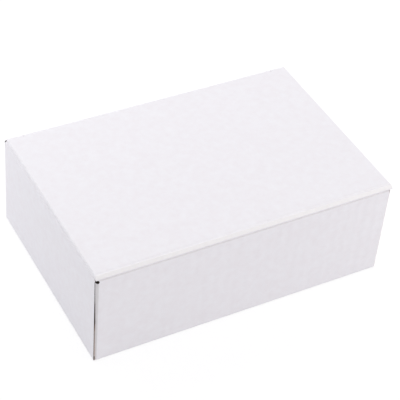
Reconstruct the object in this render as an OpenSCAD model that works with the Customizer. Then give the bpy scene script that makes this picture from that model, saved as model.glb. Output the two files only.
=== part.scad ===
// Plain white mailing box, cut from one sheet of corrugated board and folded up.
// Each side wall is double: the outer panel rolls over the end flaps and locks in
// the base with two tabs. The lid hinges on a pressed fold along the back wall, and
// its tuck flap goes down behind the front wall.
// Origin: middle of the base's underside. X runs along the hinge, the hinge wall
// faces -Y, the front wall faces +Y, and Z is up. Millimetres.

/* [Outside size] */
// Length of the closed box, along the hinge
box_length = 190; // [150:1:320]
// Depth of the closed box, from the hinge wall to the front wall
box_depth = 131; // [110:1:240]
// Height of the closed box
box_height = 66.5; // [50:0.5:120]

/* [Board] */
// Thickness of the corrugated board
board = 3; // [2.2:0.1:3.6]
// Air between two layers of board that lie against each other
layer_gap = 0.3; // [0.15:0.05:0.5]
// Outer radius of a pressed fold
fold_radius = 2; // [0.8:0.1:2.2]
// Distance from one wave of the corrugated core to the next
flute_pitch = 6.53; // [6:0.01:7.2]
// Thickness of the two flat liners and of the waved core between them
paper = 0.4; // [0.25:0.05:0.6]
// How far down the waves are open where a cut edge shows
flute_cut = 4; // [1:0.5:8]

/* [Side walls] */
// How far the outer side panels stop short of the back and front faces, at their foot
side_setback = 1.3; // [1:0.1:1.6]
// How much more they stop short at their top
side_taper = 1.3; // [0:0.1:1.4]
// Play between an inner side panel and the walls at its two ends
side_play = 0.5; // [0.2:0.1:2]
// Thickness left at the very end of an outer side panel, where the core is crushed back
crushed_edge = 0.3; // [0.25:0.05:0.8]
// Length over which that end thins out
crushed_run = 2.5; // [1:0.5:4]
// Slit between the end of an outer side panel and the fold beside it, at its top
slit_top = 0.15; // [0.1:0.05:0.3]
// Width of that slit at its foot
slit_foot = 0.4; // [0.1:0.05:0.6]

/* [End flaps] */
// Space between the two end flaps inside one side wall
flap_spacing = 34; // [10:1:60]
// How much an end flap's free end narrows at each corner
flap_taper = 8; // [3:1:15]
// How far the round vertical folds stay behind the side walls' outer faces
fold_shy = 0.2; // [0.1:0.05:0.6]
// Width of the small hole where three folds meet under the lid
corner_hole = 2.2; // [1:0.1:3]
// Height of the relief cut at the foot of each corner
foot_relief = 4; // [3.5:0.5:8]
// Width of that relief cut
foot_gap = 0.7; // [0.4:0.1:1.5]

/* [Lock tabs] */
// Width of a lock tab
tab_width = 24; // [12:1:34]
// Distance between the middles of the two tabs of one side
tab_spacing = 60; // [46:1:70]
// Play round a tab in its slot
slot_play = 0.4; // [0.2:0.1:1]
// How far a tab's foot stays above the table
tab_lift = 0.4; // [0.2:0.1:1.5]

/* [Lid] */
// Depth of the tuck flap
tuck_depth = 30; // [18:1:40]
// Play between the tuck flap and the front wall
tuck_play = 0.3; // [0.2:0.1:1]
// How far the raw edge of the front wall lies below the top of the lid
front_drop = 5; // [4:0.5:10]
// Length of the ears at the two ends of the tuck flap
ear_length = 28; // [12:1:45]
// Play between an ear and the inner side panel
ear_play = 0.9; // [0.5:0.1:3]
// Distance of the pressed score from the hinge edge of the lid
score_inset = 3.2; // [2.6:0.1:5]
// Depth of that score
score_depth = 0.25; // [0.1:0.05:0.5]
// Radius of the bead that the hinge fold leaves along the lid's edge
hinge_bead = 1.4; // [0.8:0.1:1.6]
// How far the top of that bead sinks below the lid's top face
hinge_sink = 0.8; // [0.3:0.1:0.9]
// Slope from the lid's top face down to that bead, in degrees
hinge_slope = 25; // [20:1:35]

/* [Hidden] */
$fn = 64;

white_liner = "whitesmoke";
over = 1;                     // how far a cutter passes the face that it cuts
edge_soft = 0.6;              // size of the soft edges beside the hinge groove
lid_edge_soft = 0.6;          // chamfer of the lid's pressed side edges
score_radius = 2.5;           // radius of the rule that pressed the score
corner_clip = 4;              // chamfer at the lower corners of an inner side panel
lid_corner_r = 3;             // plan radius of the lid's two front corners
bead_steps = 6;               // flats round the hinge bead
tuck_corner = 9;              // rounding of the tuck flap's free corners
ear_drop = 2;                 // how far the ears start below the lid
ear_lean = 3;                 // how much the ears narrow towards their ends
ear_corner = 6;               // chamfer at the ears' lower corners
swing_margin = 0.4;           // extra lean that keeps the tuck flap clear in its swing, degrees

half_length = box_length / 2;
half_depth = box_depth / 2;
wall_top = box_height - board;                        // the lid's underside
front_top = box_height - front_drop;                  // raw edge of the front wall
roll_under = wall_top - board;                        // underside of a rolled strip
layer_step = board + layer_gap;
flap_face = half_length - layer_step;                 // outer face of an end flap
inner_back = flap_face - layer_step;                  // outer face of an inner side panel
inner_face = inner_back - board;                      // its face towards the inside
side_half = half_depth - side_setback;                // half length of an outer side panel
fold_end = half_length - fold_shy;                    // outer side of a vertical fold
inner_half = half_depth - board - side_play;          // half length of an inner side panel
flap_length = half_depth - board - flap_spacing / 2;
lid_front = half_depth - board - tuck_play;           // outer face of the lid's front fold
fold_y = lid_front - board;                           // inner corner of that fold
swing = fold_y + half_depth;                          // from the hinge to that corner
tuck_lean = asin(tuck_depth / (2 * swing)) + swing_margin;
tuck_half = inner_face - ear_play;
wave_height = board / 2 - paper - paper / 2;          // of the core's middle line, up or down

// One corner of a folded board in section: inner corner sharp, outer corner rounded.
// It fills the square from 0 to board, with its outer corner at the origin.
module fold_section(r) {
    intersection() {
        translate([r, r]) circle(r);
        square(board);
    }
    translate([r, 0]) square([board - r, board]);
    translate([0, r]) square([board, board - r]);
}

// Runs a section that is drawn in Y and Z along X, over the half length h each way
module along_x(h) {
    rotate([90, 0, 90]) translate([0, 0, -h]) linear_extrude(2 * h) children();
}

// Runs a section that is drawn in X and Z along Y, over the half length h each way
module along_y(h) {
    rotate([90, 0, 0]) translate([0, 0, -h]) linear_extrude(2 * h) children();
}

module both_x() {
    children();
    mirror([1, 0, 0]) children();
}

module both_y() {
    children();
    mirror([0, 1, 0]) children();
}

// Base panel with the slots for the lock tabs
module base_panel() {
    difference() {
        translate([-half_length + board, -half_depth + board, 0])
            cube([box_length - 2 * board, box_depth - 2 * board, board]);
        both_x() both_y() tab_slot();
    }
}

module tab_slot() {
    translate([
        inner_face - slot_play,
        tab_spacing / 2 - tab_width / 2 - slot_play,
        -over
    ])
        cube([
            board + 2 * slot_play,
            tab_width + 2 * slot_play,
            board + 2 * over
        ]);
}

// Outer side panel on the +X side, with its fold at the base and its fold at the top
module outer_side_panel() {
    difference() {
        intersection() {
            along_y(half_depth) {
                translate([half_length, 0]) mirror([1, 0]) fold_section(fold_radius);
                translate([half_length - board, board]) square([board, roll_under - board]);
                translate([half_length, wall_top]) mirror([1, 0]) mirror([0, 1])
                    fold_section(fold_radius);
            }
            translate([half_length - board - over, 0, 0]) rotate([90, 0, 90])
                linear_extrude(board + 2 * over) side_outline(0, 0);
        }
        both_y() crushed_end();
    }
}

// Wedge that the end of an outer side panel loses on its inner face
module crushed_end() {
    slope = crushed_run / (board - crushed_edge);
    past = crushed_edge / 2;
    tip = half_length - crushed_edge;
    inner = half_length - board - over;
    translate([0, side_half, 0]) rotate([atan(side_taper / wall_top), 0, 0])
        translate([0, 0, -over]) linear_extrude(wall_top + 2 * over)
            polygon([
                [tip + past, over],
                [tip + past, past * slope],
                [inner, (inner - tip) * slope],
                [inner, over]
            ]);
}

// Outline of an outer side panel in Y and Z, narrower at its top, with room at its ends
module side_outline(room_foot, room_top) {
    slope = (side_taper + room_foot - room_top) / wall_top;
    foot = side_half + room_foot + slope * over;
    top = side_half - side_taper + room_top - slope * over;
    polygon([
        [-foot, -over],
        [foot, -over],
        [top, wall_top + over],
        [-top, wall_top + over]
    ]);
}

// Strip over the end flaps, and the inner side panel that hangs from it
module rolled_side() {
    along_y(inner_half) {
        translate([inner_back, roll_under])
            square([half_length - board - inner_back, board]);
        translate([inner_face, wall_top]) mirror([0, 1]) fold_section(fold_radius);
    }
    translate([inner_face, 0, 0]) rotate([90, 0, 90]) linear_extrude(board)
        inner_side_outline();
}

module inner_side_outline() {
    foot = layer_step;
    polygon([
        [-inner_half, roll_under],
        [-inner_half, foot + corner_clip],
        [-inner_half + corner_clip, foot],
        [inner_half - corner_clip, foot],
        [inner_half, foot + corner_clip],
        [inner_half, roll_under]
    ]);
    for (s = [-1, 1]) translate([s * tab_spacing / 2, 0]) lock_tab_outline();
}

module lock_tab_outline() {
    clip = board / 2;
    polygon([
        [-tab_width / 2, layer_step],
        [-tab_width / 2, tab_lift + clip],
        [-tab_width / 2 + clip, tab_lift],
        [tab_width / 2 - clip, tab_lift],
        [tab_width / 2, tab_lift + clip],
        [tab_width / 2, layer_step]
    ]);
}

// Back or front wall as it stands at +Y, with its fold at the base, up to the height
// top. Its ends turn through a round fold, which bulges out beside the side panel's
// end, into the end flaps.
module end_wall(top, soft_top) {
    difference() {
        intersection() {
            along_x(fold_end) {
                translate([half_depth, 0]) mirror([1, 0]) fold_section(fold_radius);
                translate([half_depth - board, board]) square([board, top - board - edge_soft]);
                if (soft_top) {
                    translate([half_depth - board, top - edge_soft])
                        square([board - edge_soft, edge_soft]);
                    translate([half_depth - edge_soft, top - edge_soft]) circle(edge_soft);
                } else {
                    translate([half_depth - board, top - edge_soft]) square([board, edge_soft]);
                }
            }
            linear_extrude(box_height) wall_plan();
        }
        both_x() {
            translate([flap_face, 0, 0]) rotate([90, 0, 90]) linear_extrude(2 * board)
                side_outline(slit_foot, slit_top);
            translate([fold_end - foot_gap, 0, -over])
                cube([board, box_depth, foot_relief + over]);
            if (soft_top) corner_hole_cut();
        }
    }
    both_x() end_flap();
}

// Plan of an end wall: straight, with a quarter round at each end
module wall_plan() {
    r = fold_radius;
    translate([-fold_end, half_depth - 2 * board])
        square([2 * fold_end, 2 * board - r]);
    translate([r - fold_end, half_depth - 2 * board])
        square([2 * (fold_end - r), 2 * board]);
    for (s = [-1, 1]) translate([s * (fold_end - r), half_depth - r]) circle(r);
}

// Small hole that the fold loses under the lid, where three folds meet: round at the
// side of the wall, open towards the lid and the side panel
module corner_hole_cut() {
    r = corner_hole / 2;
    translate([half_length - r, half_depth + over, wall_top - 0.9 * r])
        rotate([90, 0, 0]) linear_extrude(2 * board) {
            circle(r);
            square(2 * r);
        }
}

// Open waves of the core, drawn along X and over the board's thickness, for a cut edge
// of the half length h
module open_waves(h) {
    count = floor(2 * h / flute_pitch - 0.5);
    for (i = [0:count - 1]) translate([(i - (count - 1) / 2) * flute_pitch, 0]) {
        translate([-flute_pitch / 4, 0]) wave_opening();
        translate([flute_pitch / 4, board]) mirror([0, 1]) wave_opening();
    }
}

// Space between the first liner and one crest of the core
module wave_opening() {
    foot_turn = 150;
    polygon([
        [-foot_turn / 360 * flute_pitch, paper],
        for (a = [-135:45:135])
            [a / 360 * flute_pitch, board / 2 - paper / 2 + wave_height * cos(a)],
        [foot_turn / 360 * flute_pitch, paper]
    ]);
}

// End flap that turns off an end wall and stands inside the rolled side wall
module end_flap() {
    foot = layer_step;
    head = roll_under - layer_gap;
    start = half_depth - board;
    ease = flap_taper / 4;
    translate([flap_face - board, 0, 0]) rotate([90, 0, 90]) linear_extrude(board)
        polygon([
            [start, foot],
            [start, head],
            [start - flap_length + flap_taper, head - ease],
            [start - flap_length, head - flap_taper],
            [start - flap_length, foot + flap_taper],
            [start - flap_length + flap_taper, foot + ease]
        ]);
}

// The folded sheet apart from its lid
module tray() color(white_liner) {
    base_panel();
    both_x() {
        outer_side_panel();
        rolled_side();
    }
    mirror([0, 1, 0]) end_wall(wall_top, true);
    difference() {
        end_wall(front_top, false);
        translate([0, half_depth - board, front_top - flute_cut])
            linear_extrude(flute_cut + over) open_waves(fold_end - fold_radius);
    }
}

// Section of the lid panel: along the hinge it slopes down to a round bead, behind a
// pressed score
module lid_section() {
    bead_y = hinge_bead - half_depth;
    bead_z = box_height - hinge_sink - hinge_bead;
    slope_y = bead_y - hinge_bead * sin(hinge_slope);
    slope_z = bead_z + hinge_bead * cos(hinge_slope);
    difference() {
        polygon([
            [fold_y, wall_top],
            [edge_soft - half_depth, wall_top],
            [-half_depth, wall_top + edge_soft],
            for (i = [0:bead_steps])
                let (a = 90 - i * (90 - hinge_slope) / bead_steps)
                    [bead_y - hinge_bead * sin(a), bead_z + hinge_bead * cos(a)],
            [slope_y + (box_height - slope_z) / tan(hinge_slope), box_height],
            [fold_y, box_height]
        ]);
        translate([-half_depth + score_inset, box_height - score_depth + score_radius])
            circle(score_radius);
    }
}

// Lid panel across the whole box, with pressed side edges. Its two front corners lie
// beside the tuck flap's fold, on the rolled side walls, and are round as the fold is.
module lid_panel() {
    intersection() {
        union() {
            along_x(half_length) lid_section();
            both_x() front_corner();
        }
        along_y(half_depth) lid_cross_section();
        translate([0, 0, wall_top - over]) linear_extrude(board + 2 * over) lid_plan();
    }
}

module front_corner() {
    start = tuck_half + layer_gap;
    translate([start, fold_y, wall_top]) rotate([90, 0, 90])
        linear_extrude(half_length - start) front_round(0);
}

// End of the lid panel and the round of its front fold, which turns down past the level
// by an angle
module front_round(past) {
    reach = 3 * board;
    translate([-over, 0]) square([over, board]);
    intersection() {
        circle(board);
        polygon([[0, 0], [0, reach], [reach, reach], [reach * cos(past), -reach * sin(past)]]);
    }
}

module lid_cross_section() {
    r = lid_edge_soft;
    polygon([
        [-half_length, wall_top + r],
        [-half_length + r, wall_top],
        [half_length - r, wall_top],
        [half_length, wall_top + r],
        [half_length, box_height - r],
        [half_length - r, box_height],
        [-half_length + r, box_height],
        [-half_length, box_height - r]
    ]);
}

module lid_plan() {
    r = lid_corner_r;
    far = lid_front + edge_soft;
    translate([-half_length, -half_depth])
        square([box_length, far + half_depth - r]);
    translate([-half_length + r, 0]) square([box_length - 2 * r, far]);
    for (s = [-1, 1]) translate([s * (half_length - r), far - r]) circle(r);
}

// The tuck flap and its ears lean inward, so that they swing clear of the front wall
module at_tuck() {
    translate([0, fold_y, wall_top]) rotate([-tuck_lean, 0, 0]) children();
}

// Front fold and tuck flap in one section, drawn in Y and Z. The round of the fold runs
// a little into the flap.
module tuck_section() {
    translate([fold_y, wall_top]) {
        front_round(tuck_lean + 20);
        rotate(-tuck_lean) translate([0, -tuck_depth]) square([board, tuck_depth]);
    }
}

module tuck_flap() {
    difference() {
        intersection() {
            along_x(tuck_half + over) tuck_section();
            at_tuck() rotate([90, 0, 0]) translate([0, 0, -2 * board])
                linear_extrude(4 * board) tuck_outline();
        }
        at_tuck() translate([0, 0, -tuck_depth - over])
            linear_extrude(flute_cut + over) open_waves(tuck_half - tuck_corner);
    }
    at_tuck() both_x() ear();
}

// Outline of the tuck flap, from above its fold down to its two round corners
module tuck_outline() {
    r = tuck_corner;
    translate([-tuck_half, r - tuck_depth]) square([2 * tuck_half, tuck_depth - r + 2 * board]);
    translate([r - tuck_half, -tuck_depth]) square([2 * (tuck_half - r), r]);
    for (s = [-1, 1]) translate([s * (tuck_half - r), r - tuck_depth]) circle(r);
}

// Ear on the +X end of the tuck flap, folded back along the inner side panel
module ear() {
    foot = tuck_depth - tuck_corner - over;
    translate([tuck_half - board, 0, 0]) rotate([90, 0, 90]) linear_extrude(board)
        polygon([
            [board / 2, -ear_drop],
            [-ear_length, -ear_drop - ear_lean],
            [-ear_length, -foot + ear_corner],
            [-ear_length + ear_corner, -foot + ear_lean],
            [board / 2, -foot]
        ]);
}

module lid() color(white_liner) {
    lid_panel();
    tuck_flap();
}

tray();
lid();
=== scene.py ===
import math

import bpy
from mathutils import Matrix, Vector


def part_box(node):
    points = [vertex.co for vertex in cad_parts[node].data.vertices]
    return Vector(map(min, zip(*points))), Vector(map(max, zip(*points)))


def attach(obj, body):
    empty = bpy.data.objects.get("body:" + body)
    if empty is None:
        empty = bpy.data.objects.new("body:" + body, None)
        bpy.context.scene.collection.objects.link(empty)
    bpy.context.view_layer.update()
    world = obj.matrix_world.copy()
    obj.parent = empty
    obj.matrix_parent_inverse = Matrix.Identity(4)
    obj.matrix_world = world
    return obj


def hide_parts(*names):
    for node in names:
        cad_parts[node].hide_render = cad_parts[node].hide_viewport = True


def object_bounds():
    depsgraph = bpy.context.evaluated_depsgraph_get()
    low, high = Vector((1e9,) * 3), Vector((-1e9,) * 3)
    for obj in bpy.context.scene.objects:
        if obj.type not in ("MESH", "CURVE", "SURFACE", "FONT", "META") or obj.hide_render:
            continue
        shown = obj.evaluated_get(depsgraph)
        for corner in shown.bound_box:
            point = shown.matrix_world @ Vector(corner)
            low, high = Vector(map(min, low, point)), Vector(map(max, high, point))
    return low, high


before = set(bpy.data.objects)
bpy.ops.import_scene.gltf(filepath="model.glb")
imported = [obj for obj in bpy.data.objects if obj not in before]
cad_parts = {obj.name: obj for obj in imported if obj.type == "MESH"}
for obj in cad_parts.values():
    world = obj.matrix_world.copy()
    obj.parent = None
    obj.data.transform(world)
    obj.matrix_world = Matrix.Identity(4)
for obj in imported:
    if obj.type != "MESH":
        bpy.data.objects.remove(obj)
cad_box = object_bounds()
scene = bpy.context.scene

# Camera
# A long lens above the near corner, tipped a little, fitted to the box's edges in the photo.
camera_place = Vector((-0.3257, -0.5396, 0.5927))
camera_turn = math.radians(-31.479)
camera_height = math.radians(41.481)
camera_tip = math.radians(5.539)

forward = Vector((
    -math.sin(camera_turn) * math.cos(camera_height),
    math.cos(camera_turn) * math.cos(camera_height),
    -math.sin(camera_height),
))
level_right = forward.cross(Vector((0, 0, 1))).normalized()
level_up = level_right.cross(forward)
right = math.cos(camera_tip) * level_right + math.sin(camera_tip) * level_up
up = math.cos(camera_tip) * level_up - math.sin(camera_tip) * level_right
camera_data = bpy.data.cameras.new("camera")
camera_data.lens = 125.95
camera_data.sensor_width = 36
camera_data.clip_start = 0.01
camera_data.clip_end = 20
camera = bpy.data.objects.new("camera", camera_data)
camera.matrix_world = (
    Matrix.Translation(camera_place) @ Matrix((right, up, -forward)).transposed().to_4x4()
)
scene.collection.objects.link(camera)
scene.camera = camera
scene.view_settings.view_transform = "Standard"


# Tray: base, walls and rolled sides
# One die-cut sheet of B-flute corrugated board, 3 mm thick, folded up without glue: white
# liner outside, brown kraft inside, and brown waves at its cut edges. Each side wall rolls
# over two end flaps and locks in the base with tabs.
board = 0.003
flute_pitch = 0.00653
layer_gap = 0.0003        # air between two layers of board
fold_radius = 0.002
edge_soft = 0.0006        # soft edges beside the groove under the lid
side_setback = 0.0013     # the outer side panels stop short by this at their foot
side_taper = 0.0013       # and by this more at their top
corner_hole = 0.0022      # hole in the back folds, under the lid's corners
foot_relief = 0.004       # height of the notch at the foot of each corner
foot_gap = 0.0007         # width of that notch
notch_rim = 0.0005        # faces this close to the notch get the notch's painted shadow
crushed_skin = 0.0004     # a crushed end is no thicker than this
end_reach = 0.0003        # points this close to a panel's end move with it
slit_inset = 0.0006       # the corner slits start this far behind a wall's face
slit_press = 0.00125      # the crushed end moves this far into its slit, at its foot
slit_ease = 0.0003        # and this much less at its top


def linear(hex_colour):
    """sRGB hex value as the linear colour that a shader socket takes."""
    parts = [int(hex_colour[i:i + 2], 16) / 255 for i in (1, 3, 5)]
    return [c / 12.92 if c <= 0.04045 else ((c + 0.055) / 1.055) ** 2.4 for c in parts] + [1]


def add(tree, kind, settings=None, **inputs):
    """A node of this kind, with its settings. Inputs go by name, or by number as i0, i1 and
    so on, and take a value or another node's output."""
    node = tree.nodes.new(kind)
    for name, value in (settings or {}).items():
        setattr(node, name, value)
    for name, value in inputs.items():
        key = int(name[1:]) if name[0] == "i" and name[1:].isdigit() else name.replace("_", " ")
        if isinstance(value, bpy.types.NodeSocket):
            tree.links.new(value, node.inputs[key])
        else:
            node.inputs[key].default_value = value
    return node


def paper_material(name, colour, shade, roughness, fibre_rise, wave_rise):
    """Paper in two tones, with fibres that stand up by one height and waves by another."""
    material = bpy.data.materials.new(name)
    material.use_nodes = True
    tree = material.node_tree
    tree.nodes.clear()
    place = add(tree, "ShaderNodeTexCoord")

    # The pulp lies in clouds about 4 mm wide, and its fibres are about 1 mm long.
    clouds = add(
        tree, "ShaderNodeTexNoise",
        Vector=place.outputs["Object"], Scale=1 / 0.004, Detail=4.0, Roughness=0.6,
    )
    tone = add(
        tree, "ShaderNodeMapRange",
        Value=clouds.outputs["Fac"], From_Min=0.3, From_Max=0.7, To_Min=0.0, To_Max=1.0,
    )
    paint = add(
        tree, "ShaderNodeMix", {"data_type": "RGBA"},
        i0=tone.outputs[0], i6=linear(shade), i7=linear(colour),
    )
    fibres = add(
        tree, "ShaderNodeTexNoise",
        Vector=place.outputs["Object"], Scale=1 / 0.0011, Detail=4.0, Roughness=0.6,
    )
    fibre_bump = add(
        tree, "ShaderNodeBump", Height=fibres.outputs["Fac"], Strength=1.0, Distance=fibre_rise
    )

    # The core's waves follow each other along X, and up the side walls that fold from the base.
    axes = add(tree, "ShaderNodeSeparateXYZ", Vector=place.outputs["Object"])
    facing = add(tree, "ShaderNodeSeparateXYZ", Vector=place.outputs["Normal"])
    sideways = add(tree, "ShaderNodeMath", {"operation": "ABSOLUTE"}, i0=facing.outputs["X"])
    on_side = add(
        tree, "ShaderNodeMath", {"operation": "GREATER_THAN"}, i0=sideways.outputs[0], i1=0.7
    )
    across = add(
        tree, "ShaderNodeMix", i0=on_side.outputs[0], i2=axes.outputs["X"], i3=axes.outputs["Z"]
    )
    turns = add(
        tree, "ShaderNodeMath", {"operation": "MULTIPLY"},
        i0=across.outputs[0], i1=2 * math.pi / flute_pitch,
    )
    wave = add(tree, "ShaderNodeMath", {"operation": "SINE"}, i0=turns.outputs[0])
    wave_bump = add(
        tree, "ShaderNodeBump",
        Height=wave.outputs[0], Strength=1.0, Distance=wave_rise, Normal=fibre_bump.outputs[0],
    )
    skin = add(
        tree, "ShaderNodeBsdfPrincipled",
        Base_Color=paint.outputs[2], Roughness=roughness, IOR=1.5, Normal=wave_bump.outputs[0],
    )
    add(tree, "ShaderNodeOutputMaterial", Surface=skin.outputs[0])
    return material


# Bleached kraft liner, machine finished: a matte, slightly cool white with faint clouds.
white_liner = paper_material("bleached_liner", "#F2F1F6", "#EFECF1", 0.7, 0.000004, 0.00002)
# Unbleached kraft liner: mid brown with darker clouds, more matte than the white side.
brown_liner = paper_material("brown_kraft_liner", "#C09A6E", "#B58D62", 0.85, 0.00001, 0.000012)
# Die-cut edge: brown fluting and two thin liners, crushed a little by the knife.
cut_edge = paper_material("cut_board_edge", "#B08A61", "#9C774F", 0.95, 0.00004, 0.0)
# Bleached liner in a greyer white: painted shade in the upright corner folds, the slits at the
# right end and the soft edges under the lid.
painted_fold_shade = paper_material("painted_fold_shade", "#E8E5E8", "#E3E0E3", 0.75, 0.00001, 0.0)
# Painted shadow in a very dark brown: on the corner slits at the left end, on the holes under the
# lid's left corners, and on the notches at the foot of every corner.
painted_slit_shadow = paper_material("painted_slit_shadow", "#3A302A", "#2E2621", 0.95, 0.00004, 0.0)
# Bleached liner on the bead along the hinge, pressed smooth by the creasing rule and so less
# matte, and whiter: painted light that brings the bead's slope up to the brightness of the top.
pressed_liner_painted_light = paper_material("pressed_liner_painted_light", "#F8F6F8", "#F5F3F5", 0.6, 0.000002, 0.0)

finishes = (white_liner, brown_liner, cut_edge, painted_fold_shade, painted_slit_shadow, pressed_liner_painted_light)
WHITE, BROWN, EDGE, FOLD_SHADE, SLIT_SHADOW, PRESSED_PAINTED_LIGHT = range(len(finishes))


def sheet_copy(node, name, finish_of, settle):
    """Copy of a node's mesh, its points settled as by hand, with a finish for each face."""
    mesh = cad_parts[node].data.copy()
    mesh.name = name
    for vertex in mesh.vertices:
        vertex.co = settle(vertex.co)
    mesh.materials.clear()
    for material in finishes:
        mesh.materials.append(material)
    for face in mesh.polygons:
        face.material_index = finish_of(face.center, face.normal)
    piece = bpy.data.objects.new(name, mesh)
    scene.collection.objects.link(piece)
    return piece


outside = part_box("tray")[1]
side_in = outside.x - board              # inner face of an outer side panel
flap_out = side_in - layer_gap           # outer face of an end flap
flap_in = flap_out - board
inner_out = flap_in - layer_gap          # outer face of an inner side panel
inner_in = inner_out - board
wall_in = outside.y - board              # inner face of the front and back walls
near = 0.0002                            # planes this close count as one


def tray_finish(centre, normal):
    """Finish of one face of the tray. Left and right are alike, but for the darker slits
    at the left end, which the photo shows."""
    x, y, z = abs(centre.x), abs(centre.y), centre.z
    out_x = normal.x * math.copysign(1, centre.x)
    out_y = normal.y * math.copysign(1, centre.y)
    tilted = abs(normal.z) > 0.01
    # Slit faces are painted shade: a very dark brown at the left end and a greyer white at the
    # right.
    in_slit = SLIT_SHADOW if centre.x < 0 else FOLD_SHADE
    if z < near and normal.z < -0.9:
        return WHITE

    # Corners: the hole under the lid, the slit and the notch at the foot, each in painted shade.
    under_lid = z > outside.z - corner_hole - layer_gap
    if x > side_in and y > wall_in - near / 2 and under_lid and abs(normal.y) < 0.5 and tilted:
        return in_slit
    if x > side_in + near and abs(normal.y) > 0.9 and y < outside.y - slit_inset:
        return in_slit
    beside_notch = outside.x - foot_gap - notch_rim < x < outside.x - layer_gap
    if beside_notch and y > wall_in and z < foot_relief + notch_rim:
        if abs(out_x) > 0.9 or abs(normal.z) > 0.9:
            return SLIT_SHADOW

    # Flat layers of the sheet, from the base up and from the outside in.
    if normal.z > 0.9 and abs(z - board) < near:
        return BROWN
    if abs(out_x) > 0.99:
        if x > outside.x - layer_gap or min(abs(x - flap_out), abs(x - inner_in)) < near:
            return WHITE
        if min(abs(x - side_in), abs(x - flap_in), abs(x - inner_out)) < near:
            return BROWN
        return EDGE
    if abs(out_y) > 0.99:
        if y > outside.y - near:
            return WHITE
        return BROWN if abs(y - wall_in) < near and out_y < 0 else EDGE
    if normal.z > 0.99 and z > outside.z - board - near / 2 and x > inner_in - near:
        return WHITE
    if normal.z < -0.99 and abs(z - (outside.z - board)) < near:
        return BROWN

    # Folds: level ones along Y and X, then the upright ones at the corners. The soft edges under
    # the lid and the upright corner folds get painted shade.
    if abs(normal.x) > 0.01 and abs(normal.y) < 0.01 and tilted:
        return WHITE
    if abs(normal.x) < 0.01 and abs(normal.y) > 0.01 and tilted:
        return FOLD_SHADE if z > outside.z - edge_soft - near and out_y > 0 else WHITE
    on_fold = x > outside.x - fold_radius - layer_gap
    if on_fold and abs(normal.z) < 0.1 and out_x > 0.01 and out_y > 0.01:
        return FOLD_SHADE
    return EDGE


def tray_settle(place):
    """The left panel's crushed end lies pressed up to the back fold, most at its foot."""
    rise = place.z / outside.z
    end = outside.y - side_setback - side_taper * rise
    at_end = place.y < 0 and abs(-place.y - end) < end_reach
    if at_end and place.x < crushed_skin - outside.x:
        return Vector((place.x, place.y - slit_press + slit_ease * rise, place.z))
    return place


tray_sheet = sheet_copy("tray", "tray_sheet", tray_finish, tray_settle)
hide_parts("tray")
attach(tray_sheet, "tray")


# Lid, tuck flap and ears
# The same sheet goes on from the back wall through a pressed fold. The tuck flap turns
# down from the lid's front edge behind the front wall, with an ear folded in at each end.
score_inset = 0.0032      # from the hinge edge to the middle of the pressed score
score_reach = 0.0012      # half width of that score
score_depth = 0.0003      # the score lies no deeper than this
tuck_half = 0.0845        # half length of the tuck flap
tuck_sound = 0.026        # depth of the tuck flap above the open waves
score_creep = 0.0009      # how far the score has moved towards the hinge
lid_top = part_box("lid")[1].z
lid_low = lid_top - board


def lid_finish(centre, normal):
    """Finish of one face of the lid, its tuck flap or an ear."""
    out_x = normal.x * math.copysign(1, centre.x)
    if normal.z > 0.98:
        return WHITE
    if centre.z > lid_low - near:
        if normal.z < -0.9:
            return BROWN
        on_bead = centre.y < -wall_in and normal.z > 0.3 and abs(normal.x) < 0.1
        # The bead's slope gets painted light from the whiter pressed liner.
        return PRESSED_PAINTED_LIGHT if on_bead else WHITE
    if normal.z > 0.5:
        return WHITE
    if centre.z < lid_low - tuck_sound:
        return EDGE
    if normal.y > 0.5 or out_x > 0.9:
        return WHITE
    if normal.y < -0.5:
        return BROWN if abs(centre.x) < tuck_half - board else EDGE
    return BROWN if out_x < -0.9 else EDGE


def lid_settle(place):
    """The score has crept towards the hinge, so the bead beside it stands steeper."""
    if place.z > lid_top - score_depth and place.y < score_inset + score_reach - outside.y:
        return Vector((place.x, place.y - score_creep, place.z))
    return place


lid_sheet = sheet_copy("lid", "lid_sheet", lid_finish, lid_settle)
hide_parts("lid")
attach(lid_sheet, "lid")


# Floor and surroundings
# A plain, matte white studio table that runs out to a white background on all sides. It
# looks nearly white to the camera everywhere, and keeps a faint shadow of the box.
floor_reach = 6
floor_mesh = bpy.data.meshes.new("floor")
floor_mesh.from_pydata(
    [(-floor_reach, -floor_reach, 0), (floor_reach, -floor_reach, 0),
     (floor_reach, floor_reach, 0), (-floor_reach, floor_reach, 0)],
    [],
    [(0, 1, 2, 3)],
)
floor = bpy.data.objects.new("floor", floor_mesh)
floor.location.z = cad_box[0][2] - 0.0001
scene.collection.objects.link(floor)


def background_rays(tree):
    """1 for rays that see the background as such: from the camera, in gloss and through glass."""
    path = add(tree, "ShaderNodeLightPath")
    seen = add(
        tree, "ShaderNodeMath", {"operation": "MAXIMUM"},
        i0=path.outputs["Is Camera Ray"], i1=path.outputs["Is Glossy Ray"],
    )
    return add(
        tree, "ShaderNodeMath", {"operation": "MAXIMUM"},
        i0=seen.outputs[0], i1=path.outputs["Is Transmission Ray"],
    ).outputs[0]


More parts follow.
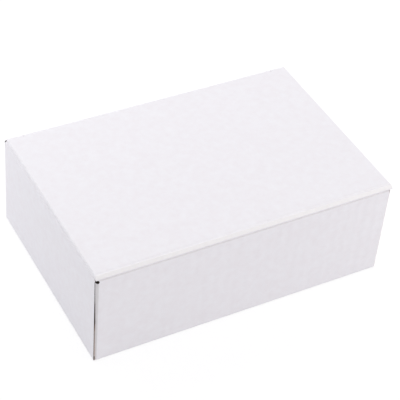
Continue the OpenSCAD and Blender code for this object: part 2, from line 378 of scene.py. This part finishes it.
# Matte white lacquer: what the camera sees is 0.3 of the lit surface and 0.7 plain white,
# lifted a little, so that the table runs out to pure white.
table = bpy.data.materials.new("white_table")
table.use_nodes = True
tree = table.node_tree
tree.nodes.clear()
matte = add(tree, "ShaderNodeBsdfDiffuse", Color=linear("#E8E8EA"))
glow = add(tree, "ShaderNodeEmission", Strength=1.0)
seen_table = add(tree, "ShaderNodeMixShader", Fac=0.3, i1=glow.outputs[0], i2=matte.outputs[0])
lift = add(tree, "ShaderNodeEmission", Strength=0.1)
seen_lifted = add(tree, "ShaderNodeAddShader", i0=seen_table.outputs[0], i1=lift.outputs[0])
table_skin = add(
    tree, "ShaderNodeMixShader",
    Fac=background_rays(tree), i1=matte.outputs[0], i2=seen_lifted.outputs[0],
)
add(tree, "ShaderNodeOutputMaterial", Surface=table_skin.outputs[0])
floor_mesh.materials.append(table)

# A white studio room: even light from all sides, and pure white where it is seen.
world = bpy.data.worlds.new("studio")
scene.world = world
world.use_nodes = True
tree = world.node_tree
tree.nodes.clear()
room = add(tree, "ShaderNodeBackground", Color=(1, 1, 1, 1), Strength=0.65)
white = add(tree, "ShaderNodeBackground", Color=(1, 1, 1, 1), Strength=1.0)
seen_room = add(
    tree, "ShaderNodeMixShader",
    Fac=background_rays(tree), i1=room.outputs[0], i2=white.outputs[0],
)
add(tree, "ShaderNodeOutputWorld", Surface=seen_room.outputs[0])

# Two softboxes, over the far side of the box and at the right, and two small white cards
# close to the far end of each wall in view.
lamp_aim = Vector((0, 0, 0.04))
for name, place, size, power, colour in (
    ("softbox_over", Vector((-0.1, 0.7, 0.7)), 0.8, 3.05, (0.985, 0.98, 1)),
    ("softbox_right", Vector((1.1, -0.75, 0.6)), 1.0, 7.2, (1, 0.95, 0.925)),
    ("card_right", Vector((0.6, -0.45, 0.3)), 0.5, 0.37, (1, 1, 1)),
    ("card_left", Vector((-0.38, 0.28, 0.16)), 0.3, 0.36, (1, 1, 1)),
):
    lamp_data = bpy.data.lights.new(name, "AREA")
    lamp_data.shape = "SQUARE"
    lamp_data.size = size
    lamp_data.energy = power
    lamp_data.color = colour
    lamp = bpy.data.objects.new(name, lamp_data)
    lamp.location = place
    lamp.rotation_euler = (lamp_aim - place).to_track_quat("-Z", "Y").to_euler()
    scene.collection.objects.link(lamp)
